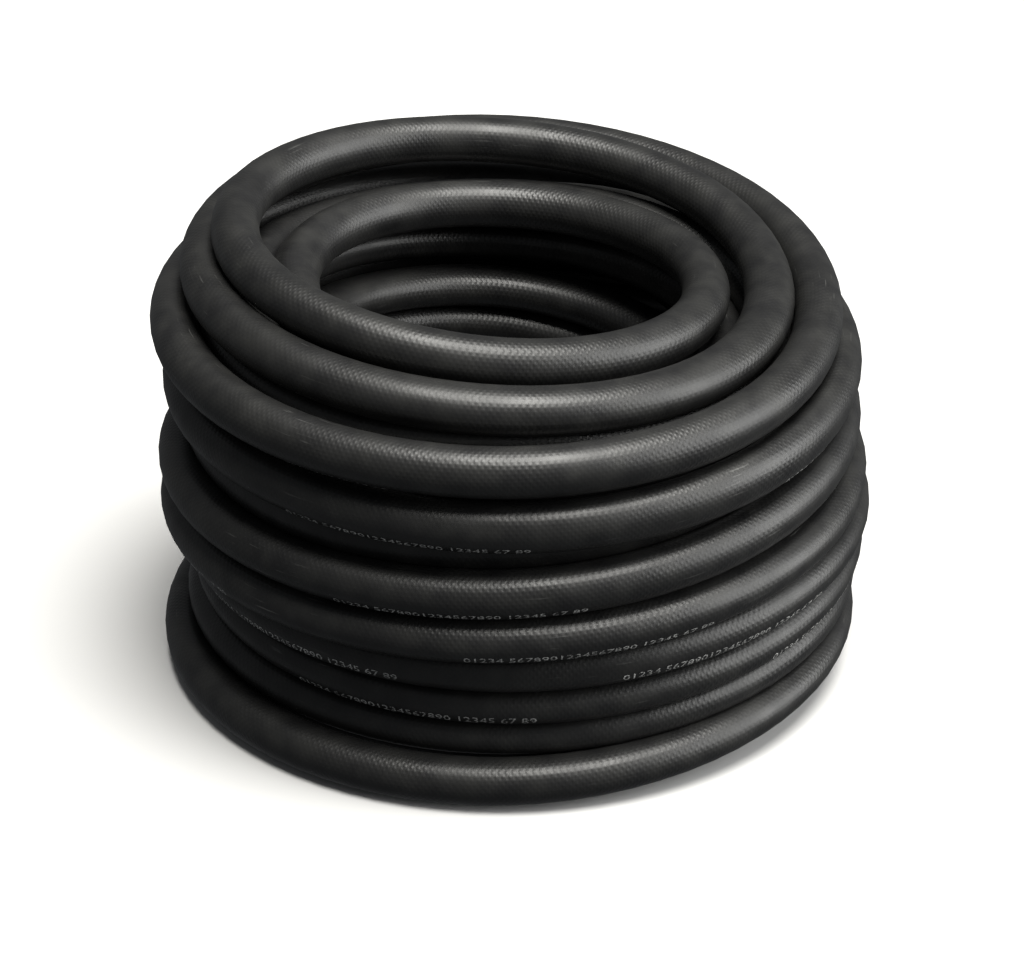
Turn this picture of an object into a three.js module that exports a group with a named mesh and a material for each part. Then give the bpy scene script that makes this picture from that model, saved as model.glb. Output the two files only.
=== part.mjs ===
// Coil of fuel hose, standing on its end: one hose wound in four columns of turns, with an open bore.
// Millimetres, +Z up. The origin is the middle of the coil on the floor.
// The coil is one turned solid, and its turns show as rounds on its side, its ends and its bore.
import * as THREE from 'three';

// The hose.
const hoseDiameter = 37;

// The coil: the clear bore, the columns of turns round it, and the rows of turns in a column.
const boreDiameter = 280;
const columnCount = 4;
const rowCount = 8;

// How far the turns lie apart: from the turn below, and from the turns of the next column, which
// nest half a row higher.
const rowGap = 0.6;
const nestGap = 1.85;

// The last turns were wound across the top and stand proud of their rows, the second column from
// the bore the most.
const crownRise = 19;

// Rows of the outer column that slipped inwards: the row, counted from the floor, and how far.
const slippedRows = new Map([[1, 14], [2, 14], [3, 7]]);

// A turn's section has this many flats, one of them straight down and one straight up. It stops a
// share of a flat short of the groove beside it.
const sectionSides = 12;
const grooveShare = 0.25;
const turnedSides = 36;

const hoseRadius = hoseDiameter / 2;
const rowPitch = hoseDiameter + rowGap;
const columnPitch = Math.sqrt((hoseDiameter + nestGap) ** 2 - (rowPitch / 2) ** 2);
const outerColumn = columnCount - 1;

const columnRadius = (column) => boreDiameter / 2 + hoseRadius + column * columnPitch;
const isNested = (column) => (outerColumn - column) % 2 === 1;
const rowHeight = (column, row) => hoseRadius + (row + (isNested(column) ? 0.5 : 0)) * rowPitch;

// The turns that can be seen, in order round the section: out along the floor, up the outside,
// in across the top and down the bore. Each is the middle of a round section.
function visibleTurns() {
  const turns = [];
  const addTurn = (radius, height) => turns.push(new THREE.Vector2(radius, height));
  for (let column = 1; column < outerColumn; column += 1) {
    addTurn(columnRadius(column), rowHeight(column, 0));
  }
  for (let row = 0; row < rowCount; row += 1) {
    addTurn(columnRadius(outerColumn) - (slippedRows.get(row) ?? 0), rowHeight(outerColumn, row));
  }
  for (let column = outerColumn - 1; column > 0; column -= 1) {
    const topRow = isNested(column) ? rowCount - 1 : rowCount;
    addTurn(columnRadius(column), rowHeight(column, topRow) + crownRise / column);
  }
  for (let row = rowCount - 1; row >= 0; row -= 1) {
    addTurn(columnRadius(0), rowHeight(0, row));
  }
  return turns;
}

// The corners of one turn's section that show, from the turn before it round to the turn after it.
function turnArc(before, turn, after) {
  const flat = 2 * Math.PI / sectionSides;
  const cornerRadius = hoseRadius / Math.cos(flat / 2);
  const start = before.clone().sub(turn).angle();
  let end = after.clone().sub(turn).angle();
  if (end <= start) end += 2 * Math.PI;
  const corners = [];
  const firstFlat = Math.ceil(start / flat + grooveShare - 0.5);
  for (let k = firstFlat; (k + 0.5 + grooveShare) * flat < end; k += 1) {
    const angle = (k + 0.5) * flat;
    corners.push(new THREE.Vector2(
      turn.x + cornerRadius * Math.cos(angle), turn.y + cornerRadius * Math.sin(angle)));
  }
  return corners;
}

function coilProfile() {
  const turns = visibleTurns();
  const last = turns.length - 1;
  const profile = turns.flatMap((turn, i) =>
    turnArc(turns[i === 0 ? last : i - 1], turn, turns[i === last ? 0 : i + 1]));
  profile.push(profile[0].clone());
  return profile;
}

const rubber = new THREE.MeshStandardMaterial({ color: 0x1b1b1a, roughness: 0.5, metalness: 0 });

// LatheGeometry turns its profile round Y, so the coil is stood up onto Z.
const coilGeometry = new THREE.LatheGeometry(coilProfile(), turnedSides);
coilGeometry.rotateX(Math.PI / 2);

const hoseCoil = new THREE.Mesh(coilGeometry, rubber);
hoseCoil.name = 'hose_coil';

const coil = new THREE.Group();
coil.add(hoseCoil);

export default coil;
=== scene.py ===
# A coil of fuel hose, standing on its end. Metres, +Z up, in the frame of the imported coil.
import math

import bmesh
import bpy
import numpy as np
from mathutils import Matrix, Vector


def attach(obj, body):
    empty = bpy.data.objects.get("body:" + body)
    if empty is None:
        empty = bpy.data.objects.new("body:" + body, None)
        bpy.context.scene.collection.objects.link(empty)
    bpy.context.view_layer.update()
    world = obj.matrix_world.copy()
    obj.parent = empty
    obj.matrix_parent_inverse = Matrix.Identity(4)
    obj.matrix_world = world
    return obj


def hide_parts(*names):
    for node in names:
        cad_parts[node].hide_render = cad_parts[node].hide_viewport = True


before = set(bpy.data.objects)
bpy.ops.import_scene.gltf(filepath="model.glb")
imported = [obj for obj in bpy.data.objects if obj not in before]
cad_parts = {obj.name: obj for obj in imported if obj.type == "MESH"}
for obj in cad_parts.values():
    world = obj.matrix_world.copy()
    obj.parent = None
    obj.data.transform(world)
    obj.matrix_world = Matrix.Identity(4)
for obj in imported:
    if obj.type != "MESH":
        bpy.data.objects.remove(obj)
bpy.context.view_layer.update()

# Camera. It stands 2.5 m off and looks down 28 degrees on the coil's front, as in the photograph.
# The aim is the point that falls on the middle of the picture.
camera_aim = Vector((-0.002, 0.0, 0.138))
camera_distance = 2.5
camera_elevation = math.radians(27.73)
camera_data = bpy.data.cameras.new("camera")
camera_data.sensor_width = 36.0
camera_data.lens = 110.85
camera_back = Vector((0.0, -math.cos(camera_elevation), math.sin(camera_elevation)))
camera = bpy.data.objects.new("camera", camera_data)
camera.location = camera_aim + camera_back * camera_distance
camera.rotation_euler = (math.pi / 2 - camera_elevation, 0.0, 0.0)
bpy.context.scene.collection.objects.link(camera)
bpy.context.scene.camera = camera

# The hose's route. The coil is one 40 m length of hose. It was wound by hand: down a middle column,
# across the floor, up the bore, out over the top in a spiral and down the outside, always the same
# way round. Its turns are pressed together, so they slip inwards and lie at a slant.
hose_diameter = 0.037
hose_radius = hose_diameter / 2
coil_middle = Vector((-0.006, 0.0, 0.0))
stations_per_turn = 12

# Where the turns that show lie, in turns from the innermost top turn's front, and
# in millimetres: (turn, distance from the middle, height). They go front, left, back, right.
inner_and_outer_turns = [
    (-3, 160, 182), (-2.75, 162, 225), (-2.625, 160, 215), (-2.5, 160, 198), (-2.25, 160, 172),
    (-2, 160, 214), (-1.75, 162, 256), (-1.625, 160, 244), (-1.5, 160, 230), (-1.25, 160, 207),
    (-1, 172, 246), (-0.75, 185, 285), (-0.5, 183, 263), (-0.375, 173, 260), (-0.25, 168, 256),
    (0, 163, 281), (0.25, 162, 313), (0.5, 155, 306), (0.75, 153, 301),
    (1, 165, 317), (1.25, 207, 352), (1.5, 205, 341), (1.625, 207, 322), (1.75, 202, 299),
    (2, 210, 301), (2.25, 232, 324), (2.5, 252, 326), (2.625, 250, 309), (2.75, 240, 290),
    (3, 257, 276), (3.25, 256, 289), (3.375, 262, 291), (3.5, 264, 281), (3.75, 257, 252),
    (4, 257, 232), (4.25, 248, 241), (4.5, 258, 224), (4.75, 258, 206),
    (5, 257, 178), (5.25, 254, 175), (5.5, 258, 170), (5.75, 262, 162),
    (6, 257, 142), (6.25, 254, 139), (6.5, 259, 135), (6.75, 266, 130),
    (7, 244, 110), (7.25, 235, 110), (7.5, 251, 104), (7.75, 262, 99),
    (8, 235, 77), (8.25, 228, 80), (8.5, 247, 73), (8.75, 257, 67),
    (9, 229, 47), (9.25, 236, 48), (9.5, 252, 44), (9.75, 257, 36), (9.875, 257, 28),
    (10, 257, 19), (10.125, 257, 18.5), (10.25, 257, 18.5), (10.375, 262, 18.5),
]

# The hose starts under the top turns at the left, where the gap between them shows a little of it.
first_turn = [
    (0.25, 198, 313), (0.5, 190, 296), (0.625, 190, 288), (0.75, 205, 262), (1, 209, 254)]
first_turn_seen = 0.375


def spline(knots, values, at):
    """A natural cubic spline through the values at the knots, read off at other places."""
    step = np.diff(knots)
    count = len(knots)
    matrix = np.eye(count)
    right = np.zeros(count)
    for i in range(1, count - 1):
        matrix[i, i - 1:i + 2] = step[i - 1], 2 * (step[i - 1] + step[i]), step[i]
        slope_before = (values[i] - values[i - 1]) / step[i - 1]
        slope_after = (values[i + 1] - values[i]) / step[i]
        right[i] = 6 * (slope_after - slope_before)
    bend = np.linalg.solve(matrix, right)
    i = np.clip(np.searchsorted(knots, at, side="right") - 1, 0, count - 2)
    t = (at - knots[i]) / step[i]
    s = 1 - t
    curve = (s ** 3 - s) * bend[i] + (t ** 3 - t) * bend[i + 1]
    return s * values[i] + t * values[i + 1] + curve * step[i] ** 2 / 6


def wound(picked):
    """The picked places of a stretch of hose, filled in at every station, in metres."""
    picked = np.array(picked, float)
    first, last = (round(turn * stations_per_turn) for turn in picked[[0, -1], 0])
    at = np.arange(first, last + 1) / stations_per_turn
    return np.stack([spline(picked[:, 0], picked[:, k], at) for k in (1, 2)], axis=1) / 1000


# The turns that don't show: down the middle in a zigzag of two columns, and then up the bore.
middle_turns = 12
bore_turns = 59 / 12
middle_column = 0.209
zigzag_reach = 0.017
bore_column = 0.160
innermost_hidden = 0.157
outermost_hidden = 0.245
top_stretch = wound(first_turn)
seen_stretch = wound(inner_and_outer_turns)
middle_count = round(middle_turns * stations_per_turn)
share = np.arange(1, middle_count + 1) / middle_count
middle_stretch = np.stack([
    middle_column - zigzag_reach * np.cos(math.pi * share * (middle_turns - 1)),
    top_stretch[-1, 1] + (hose_radius - top_stretch[-1, 1]) * share,
], axis=1)
bore_count = round(bore_turns * stations_per_turn)
share = np.arange(1, bore_count + 1) / (bore_count + 1)
bore_stretch = np.stack([
    np.full(bore_count, bore_column),
    hose_radius + (seen_stretch[0, 1] - hose_radius) * share,
], axis=1)
route = np.concatenate([top_stretch, middle_stretch, bore_stretch, seen_stretch])
seen_first = len(route) - len(seen_stretch)
is_held = np.ones(len(route), bool)
is_held[:seen_first] = False
is_held[:round(first_turn_seen * stations_per_turn) + 1] = True

# The spare cells of the grid of stations lie far off and far from each other, so they push nothing.
far_away = 9.0
spare_spread = 5.0


def by_turn(values, fill):
    """The stations as a grid: one row for each turn, one column for each way round the coil."""
    rows = math.ceil(len(values) / stations_per_turn)
    spare_count = rows * stations_per_turn - len(values)
    spread = spare_spread * np.arange(spare_count).reshape(-1, *[1] * (values.ndim - 1))
    spare = fill + spread * np.ones(values.shape[1:])
    return np.concatenate([values, spare]).reshape(rows, stations_per_turn, *values.shape[1:])


def neighbours(places):
    """For each two turns side by side, the way from one to the other and how far it is."""
    grid = by_turn(places, far_away)
    way = grid[:, None] - grid[None]
    far = np.hypot(way[..., 0], way[..., 1])
    far[np.arange(len(grid)), np.arange(len(grid))] = far_away
    return way, far


# The hidden turns settle: they sink, even out along the hose, and are pushed off their neighbours.
settling_steps = 500
evening_steps = 460
evening = 0.2
sinking = 0.00005
push_share = 0.6
turn_clearance = 0.0004
is_loose = ~is_held
held_grid = by_turn(is_held.astype(float), 1.0) > 0.5
gives_way = np.where(held_grid[:, None], 0.0, np.where(held_grid[None], 1.0, 0.5))
for step_number in range(settling_steps):
    if step_number < evening_steps:
        evened = route[1:-1] + evening * (route[:-2] + route[2:] - 2 * route[1:-1])
        evened[:, 1] -= sinking
        route[1:-1] = np.where(is_held[1:-1, None], route[1:-1], evened)
    way, far = neighbours(route)
    lack = np.clip(hose_diameter + turn_clearance - far, 0.0, None) * gives_way
    push = (way / far[..., None] * lack[..., None]).sum(axis=1).reshape(-1, 2)[:len(route)]
    route += push_share * push
    route[is_loose, 1] = np.maximum(route[is_loose, 1], hose_radius)
    route[is_loose, 0] = np.clip(route[is_loose, 0], innermost_hidden, outermost_hidden)

# Where a turn lies closer to its nearest neighbour than the hose is thick, both are squeezed flat.
most_squeeze = 0.21
squeeze_evenings = 3
way, far = neighbours(route)
closest = far.argmin(axis=1)
grid_rows, grid_columns = np.indices(closest.shape)
lack = 1 - far[grid_rows, closest, grid_columns] / hose_diameter
lean = np.arctan2(
    way[grid_rows, closest, grid_columns, 1], way[grid_rows, closest, grid_columns, 0])
squeeze = np.clip(lack, 0.0, most_squeeze)[..., None] * np.stack(
    [np.cos(2 * lean), np.sin(2 * lean)], axis=-1)
squeeze = squeeze.reshape(-1, 2)[:len(route)]
for _ in range(squeeze_evenings):
    squeeze[1:-1] = (squeeze[:-2] + 2 * squeeze[1:-1] + squeeze[2:]) / 4

# Rings of points follow the route closely. Each has its middle, its outward way and its upward way.
# A squeezed ring bulges, but not through the floor.
rings_per_station = 6
stations = np.arange(len(route), dtype=float)
ring_at = np.linspace(0, len(route) - 1, (len(route) - 1) * rings_per_station + 1)
ring_radius, ring_height = (spline(stations, route[:, k], ring_at) for k in (0, 1))
ring_squeeze = np.stack([spline(stations, squeeze[:, k], ring_at) for k in (0, 1)], axis=1)
ring_squeeze[:, 0] = np.minimum(ring_squeeze[:, 0], ring_height / hose_radius - 1)
ring_turn = inner_and_outer_turns[0][0] + (ring_at - seen_first) / stations_per_turn
ring_angle = math.radians(270) - 2 * math.pi * ring_turn
ring_middle = np.array(coil_middle) + np.stack([
    ring_radius * np.cos(ring_angle), ring_radius * np.sin(ring_angle), ring_height], axis=1)
ring_along = np.gradient(ring_middle, axis=0)
ring_along /= np.linalg.norm(ring_along, axis=1, keepdims=True)
ring_out = np.cross([0.0, 0.0, 1.0], ring_along)
ring_out /= np.linalg.norm(ring_out, axis=1, keepdims=True)
ring_up = np.cross(ring_along, ring_out)
hose_run = np.concatenate([[0], np.cumsum(np.linalg.norm(np.diff(ring_middle, axis=0), axis=1))])


def on_section(ring, angle, radius):
    """Points at that angle and radius on the hose's section, squeezed where the hose is."""
    flat = (ring_squeeze[ring] * np.stack([np.cos(2 * angle), np.sin(2 * angle)], axis=-1)).sum(-1)
    reach = (radius * (1 - flat))[..., None]
    return ring_middle[ring] + reach * (
        np.cos(angle)[..., None] * ring_out[ring] + np.sin(angle)[..., None] * ring_up[ring])


# The hose itself: a thick rubber wall round a bore, with a cloth imprint and cut square at both
# ends, where a textile ply shows in the wall. A flat grid is rolled up for the outside and
# another for the bore, and the ends close the wall between them.
hose_bore_diameter = 0.025
outside_faces = 30
bore_faces = 12
ply_radii = (0.0162, 0.0150)
ring_count = len(ring_at)
hose_girth = math.pi * hose_diameter
rubber_index, lining_index, ply_index = 0, 1, 2

hose = bmesh.new()
hose.loops.layers.uv.new("hose_uv")


def rolled_skin(radius, faces, material_index):
    """A grid rolled round the route, its seam at the bottom. Its two end loops come back."""
    before = set(hose.verts)
    made = bmesh.ops.create_grid(
        hose, x_segments=ring_count - 1, y_segments=faces, size=0.5, calc_uvs=True)
    skin = made["verts"]
    flat = np.array([v.co[:2] for v in skin]) + 0.5
    ring = np.rint(flat[:, 0] * (ring_count - 1)).astype(int)
    angle = flat[:, 1] * 2 * math.pi - math.pi / 2
    for v, place in zip(skin, on_section(ring, angle, np.full(len(ring), radius))):
        v.co = place
    bmesh.ops.remove_doubles(
        hose, verts=[v for v, y in zip(skin, flat[:, 1]) if y < 1e-6 or y > 1 - 1e-6], dist=1e-7)
    skin = set(hose.verts) - before
    for face in {face for v in skin for face in v.link_faces}:
        face.material_index = material_index
    return [edge for edge in hose.edges if edge.is_boundary and edge.verts[0] in skin]


def at_end(edges, ring):
    """Those of the boundary edges that lie at the ring's end of the hose."""
    middle = Vector(ring_middle[ring])
    return [edge for edge in edges if (edge.verts[0].co - middle).length < hose_diameter]


outside_ends = rolled_skin(hose_radius, outside_faces, rubber_index)
bore_ends = rolled_skin(hose_bore_diameter / 2, bore_faces, lining_index)
for ring in (0, ring_count - 1):
    rim = at_end(outside_ends, ring)
    middle = Vector(ring_middle[ring])
    for edge in rim:
        edge.smooth = False
    for radius, material_index in zip(ply_radii, (lining_index, ply_index)):
        made = bmesh.ops.extrude_edge_only(hose, edges=rim)["geom"]
        for v in made:
            if isinstance(v, bmesh.types.BMVert):
                v.co = middle + (v.co - middle).normalized() * radius
        rim = [edge for edge in made if isinstance(edge, bmesh.types.BMEdge) and edge.is_boundary]
        for face in made:
            if isinstance(face, bmesh.types.BMFace):
                face.material_index = material_index
    bore_rim = at_end(bore_ends, ring)
    for edge in bore_rim:
        edge.smooth = False
    for face in bmesh.ops.bridge_loops(hose, edges=rim + bore_rim)["faces"]:
        face.material_index = lining_index
bmesh.ops.recalc_face_normals(hose, faces=hose.faces)
for face in hose.faces:
    face.smooth = True
hose_mesh = bpy.data.meshes.new("hose")
hose.to_mesh(hose_mesh)
hose.free()
unrolled = np.empty((len(hose_mesh.loops), 2), np.float32)
hose_uv = hose_mesh.uv_layers["hose_uv"].uv
hose_uv.foreach_get("vector", unrolled.ravel())
unrolled[:, 0] = hose_run[np.rint(unrolled[:, 0] * (ring_count - 1)).astype(int)]
unrolled[:, 1] *= hose_girth
hose_uv.foreach_set("vector", unrolled.ravel())
hose_object = bpy.data.objects.new("hose", hose_mesh)
bpy.context.scene.collection.objects.link(hose_object)

# The outside took the weave of the cloth that it was cured in: two sets of fine ridges that cross.
# The rubber is near-black and satin, with faint dust and a few rubbed streaks along it.
imprint_pitch = 0.00485
imprints_round = 19
imprint_depth = 0.000042
grain_depth = 0.00002
grain_scale = 900.0
wear_scale = 16.0
dust_scale = 45.0
gloss_scale = 30.0
streak_scale = (28.0, 420.0, 1.0)
streak_place_scale = 9.0
smoothest, roughest = 0.37, 0.48
rubber_black = (0.0085, 0.0085, 0.0088, 1)
rubber_dusty = (0.020, 0.020, 0.019, 1)
rubbed_grey = (0.085, 0.085, 0.082, 1)


def node(tree, kind, inputs=(), **settings):
    """A new shader node with its settings, and its inputs set or linked by name or number."""
    made = tree.nodes.new("ShaderNode" + kind)
    for name, value in settings.items():
        setattr(made, name, value)
    for name, value in dict(inputs).items():
        if isinstance(value, bpy.types.NodeSocket):
            tree.links.new(value, made.inputs[name])
        else:
            made.inputs[name].default_value = value
    return made


def sums(tree, operation, first, second=0.0):
    """The output of a Math node."""
    return node(tree, "Math", {0: first, 1: second}, operation=operation).outputs[0]


def noise(tree, where, scale, detail=2.0):
    """The factor of a Noise Texture, from 0 to 1."""
    made = node(tree, "TexNoise", {"Vector": where, "Scale": scale, "Detail": detail})
    return made.outputs["Fac"]


def between(tree, value, low, high, low_out=0.0, high_out=1.0):
    """A value mapped from one range to another and clamped there."""
    return node(tree, "MapRange", {
        0: value, 1: low, 2: high, 3: low_out, 4: high_out}).outputs[0]


def blended(tree, factor, first, second):
    """A colour between two colours."""
    made = node(tree, "Mix", {0: factor, 6: first, 7: second}, data_type="RGBA")
    return made.outputs[2]


rubber = bpy.data.materials.new("imprinted_rubber")
rubber.use_nodes = True
tree = rubber.node_tree
skin = tree.nodes["Principled BSDF"]
place = node(tree, "TexCoord").outputs["Object"]
unrolled_place = node(tree, "UVMap", uv_map="hose_uv").outputs[0]
parts = node(tree, "SeparateXYZ", {0: unrolled_place}).outputs
lengthways = sums(tree, "MULTIPLY", parts[0], 2 * math.pi / imprint_pitch)
roundways = sums(tree, "MULTIPLY", parts[1], 2 * math.pi * imprints_round / hose_girth)
one_way = sums(tree, "SINE", sums(tree, "ADD", lengthways, roundways))
other_way = sums(tree, "SINE", sums(tree, "SUBTRACT", lengthways, roundways))
worn = between(tree, noise(tree, place, wear_scale, 4.0), 0.35, 0.62, 1.0, 0.3)
crossings = sums(tree, "MULTIPLY", one_way, other_way)
ridges = sums(tree, "ADD", sums(tree, "ADD", one_way, other_way), crossings)
weave = sums(tree, "MULTIPLY", ridges, worn)
imprint = node(tree, "Bump", {"Height": weave, "Distance": imprint_depth, "Strength": 1.0})
grain = node(tree, "Bump", {
    "Height": noise(tree, place, grain_scale, 3.0), "Distance": grain_depth, "Strength": 1.0,
    "Normal": imprint.outputs[0]})
streak_place = node(tree, "Mapping", {
    "Vector": unrolled_place, "Scale": streak_scale}).outputs[0]
streaks = between(tree, noise(tree, streak_place, 1.0, 3.0), 0.64, 0.76)
rubbed_where = between(tree, noise(tree, place, streak_place_scale), 0.55, 0.66)
rubbed = sums(tree, "MULTIPLY", streaks, rubbed_where)
dust = between(tree, noise(tree, place, dust_scale, 5.0), 0.35, 0.75)
dusty = blended(tree, dust, rubber_black, rubber_dusty)
tree.links.new(blended(tree, rubbed, dusty, rubbed_grey), skin.inputs["Base Color"])
gloss = between(tree, noise(tree, place, gloss_scale, 4.0), 0.3, 0.7, smoothest, roughest)
tree.links.new(gloss, skin.inputs["Roughness"])
tree.links.new(grain.outputs[0], skin.inputs["Normal"])

# The bore's lining and the cut wall are smooth rubber, and the ply is a pale textile.
lining_scale = 300.0
lining_dark, lining_light = (0.010, 0.010, 0.010, 1), (0.022, 0.022, 0.021, 1)
lining_roughness = 0.55
thread_scale = 1500.0
thread_depth = 0.0002
thread_dark, thread_light = (0.10, 0.095, 0.085, 1), (0.34, 0.32, 0.28, 1)
ply_roughness = 0.85
lining = bpy.data.materials.new("smooth_rubber")
lining.use_nodes = True
tree = lining.node_tree
place = node(tree, "TexCoord").outputs["Object"]
skin = tree.nodes["Principled BSDF"]
tree.links.new(
    blended(tree, noise(tree, place, lining_scale), lining_dark, lining_light),
    skin.inputs["Base Color"])
skin.inputs["Roughness"].default_value = lining_roughness

ply = bpy.data.materials.new("textile_ply")
ply.use_nodes = True
tree = ply.node_tree
place = node(tree, "TexCoord").outputs["Object"]
skin = tree.nodes["Principled BSDF"]
threads = noise(tree, place, thread_scale, 1.0)
tree.links.new(
    blended(tree, between(tree, threads, 0.4, 0.6), thread_dark, thread_light),
    skin.inputs["Base Color"])
thread_bump = node(tree, "Bump", {"Height": threads, "Distance": thread_depth})
tree.links.new(thread_bump.outputs[0], skin.inputs["Normal"])
skin.inputs["Roughness"].default_value = ply_roughness
for material in (rubber, lining, ply):
    hose_mesh.materials.append(material)

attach(hose_object, "root")
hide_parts("hose_coil")

# The print: a line of plain light numbers, stamped along the hose again and again. It shows on
# the outer turns, where it lies below the middle of the hose, and goes under it elsewhere.
print_words = "01234 5678901234567890 12345 67 89"
print_length = 0.178
print_height = 0.006
print_lift = 0.00006
print_cuts = (0.25, 0.5, 0.75)

# Listed: the turn at which a print has its middle, as (print, turn), and how far round the
# hose the print lies at a turn, as (turn, degrees), where 0 faces outwards and -90 down.
prints_seen = [(0, 4.045), (4, 5.021), (8, 5.963), (12, 6.892), (13, 7.109), (17, 8.046)]
first_print, last_print = -4, 26
turns_between_prints = 0.235
print_angles = [
    (3, -72), (4, -50), (5, -45), (6, -38), (7, -32), (8, -30), (8.35, -45), (9, -98), (10.4, -105)]

letters = bpy.data.curves.new("print_letters", "FONT")
letters.body = print_words
letters.resolution_u = 2
letters_object = bpy.data.objects.new("print_letters", letters)
flat_print = bmesh.new()
flat_print.from_mesh(letters_object.to_mesh())
letters_object.to_mesh_clear()
bpy.data.objects.remove(letters_object)
bmesh.ops.remove_doubles(flat_print, verts=flat_print.verts, dist=1e-4)
corners = np.array([v.co[:2] for v in flat_print.verts])
low, high = corners.min(axis=0), corners.max(axis=0)
for v in flat_print.verts:
    v.co.x = (v.co.x - (low[0] + high[0]) / 2) * print_length / (high[0] - low[0])
    v.co.y = (v.co.y - low[1]) * print_height / (high[1] - low[1])
for cut in print_cuts:
    bmesh.ops.bisect_plane(
        flat_print, geom=flat_print.verts[:] + flat_print.edges[:] + flat_print.faces[:],
        dist=1e-6, plane_co=(0.0, cut * print_height, 0.0), plane_no=(0.0, 1.0, 0.0))
bmesh.ops.triangulate(flat_print, faces=flat_print.faces)
one_print = bpy.data.meshes.new("one_print")
flat_print.to_mesh(one_print)
flat_print.free()
on_flat = np.array([v.co[:2] for v in one_print.vertices])

prints = bmesh.new()
seen_numbers, seen_turns = np.array(prints_seen).T
for number in range(first_print, last_print + 1):
    past_seen = number - np.clip(number, seen_numbers[0], seen_numbers[-1])
    centre_turn = np.interp(number, seen_numbers, seen_turns) + turns_between_prints * past_seen
    run = np.interp(centre_turn, ring_turn, hose_run) - on_flat[:, 0]
    turn = np.interp(run, hose_run, ring_turn)
    angle = np.radians(np.interp(turn, *np.array(print_angles).T)) + on_flat[:, 1] / hose_radius
    ring = np.interp(run, hose_run, np.arange(ring_count))
    whole = np.clip(ring.astype(int), 0, ring_count - 2)
    part = (ring - whole)[:, None]
    reach = np.full(len(ring), hose_radius + print_lift)
    here, beyond = on_section(whole, angle, reach), on_section(whole + 1, angle, reach)
    wrapped = (1 - part) * here + part * beyond
    before = len(prints.verts)
    prints.from_mesh(one_print)
    prints.verts.ensure_lookup_table()
    for v, spot in zip(prints.verts[before:], wrapped):
        v.co = spot
print_mesh = bpy.data.meshes.new("number_print")
prints.to_mesh(print_mesh)
prints.free()
bpy.data.meshes.remove(one_print)
print_object = bpy.data.objects.new("number_print", print_mesh)
bpy.context.scene.collection.objects.link(print_object)

ink_bare, ink_light = (0.03, 0.03, 0.03, 1), (0.70, 0.70, 0.68, 1)
ink_roughness = 0.6
speck_scale = 700.0
fading_scale = 22.0
ink = bpy.data.materials.new("print_ink")
ink.use_nodes = True
tree = ink.node_tree
place = node(tree, "TexCoord").outputs["Object"]
skin = tree.nodes["Principled BSDF"]
broken = between(tree, noise(tree, place, speck_scale, 3.0), 0.36, 0.52)
fading = between(tree, noise(tree, place, fading_scale), 0.35, 0.6, 0.55, 1.0)
faded = sums(tree, "MULTIPLY", broken, fading)
tree.links.new(blended(tree, faded, ink_bare, ink_light), skin.inputs["Base Color"])
skin.inputs["Roughness"].default_value = ink_roughness
print_mesh.materials.append(ink)

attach(print_object, "root")

# The floor and the studio. The floor is plain and pale. It throws no light back on the hose, whose
# undersides are dark in the photograph.
floor_half_side = 8.0
floor_grey = (0.6, 0.6, 0.6, 1)
floor_roughness = 0.9
floor = bmesh.new()
bmesh.ops.create_grid(floor, x_segments=1, y_segments=1, size=floor_half_side)
floor_mesh = bpy.data.meshes.new("studio_floor")
floor.to_mesh(floor_mesh)
floor.free()
floor_object = bpy.data.objects.new("studio_floor", floor_mesh)
bpy.context.scene.collection.objects.link(floor_object)
floor_paint = bpy.data.materials.new("floor_paint")
floor_paint.use_nodes = True
skin = floor_paint.node_tree.nodes["Principled BSDF"]
skin.inputs["Base Color"].default_value = floor_grey
skin.inputs["Roughness"].default_value = floor_roughness
floor_mesh.materials.append(floor_paint)
floor_object.visible_diffuse = False
floor_object.visible_glossy = False

studio_tint = (0.94, 0.97, 1.0, 1)
studio_strength = 0.12
studio = bpy.data.worlds.new("studio")
studio.use_nodes = True
background = studio.node_tree.nodes["Background"]
background.inputs["Color"].default_value = studio_tint
background.inputs["Strength"].default_value = studio_strength
bpy.context.scene.world = studio
bpy.context.scene.view_settings.view_transform = "Standard"


def soft_light(name, elevation, azimuth, spread, power, tint):
    """A large soft light far off, in degrees up, round to the right from the front, and wide."""
    light = bpy.data.lights.new(name, "SUN")
    light.energy = power
    light.angle = math.radians(spread)
    light.color = tint
    lamp = bpy.data.objects.new(name, light)
    lamp.rotation_euler = (math.radians(90 - elevation), 0.0, math.radians(azimuth))
    bpy.context.scene.collection.objects.link(lamp)


soft_light("overhead_light", 79, 50, 34, 5.6, (1.0, 0.985, 0.94))
soft_light("right_light", 25, 78, 50, 2.8, (1.0, 1.0, 0.98))
soft_light("low_right_light", 6, 100, 30, 0.7, (1.0, 1.0, 0.98))
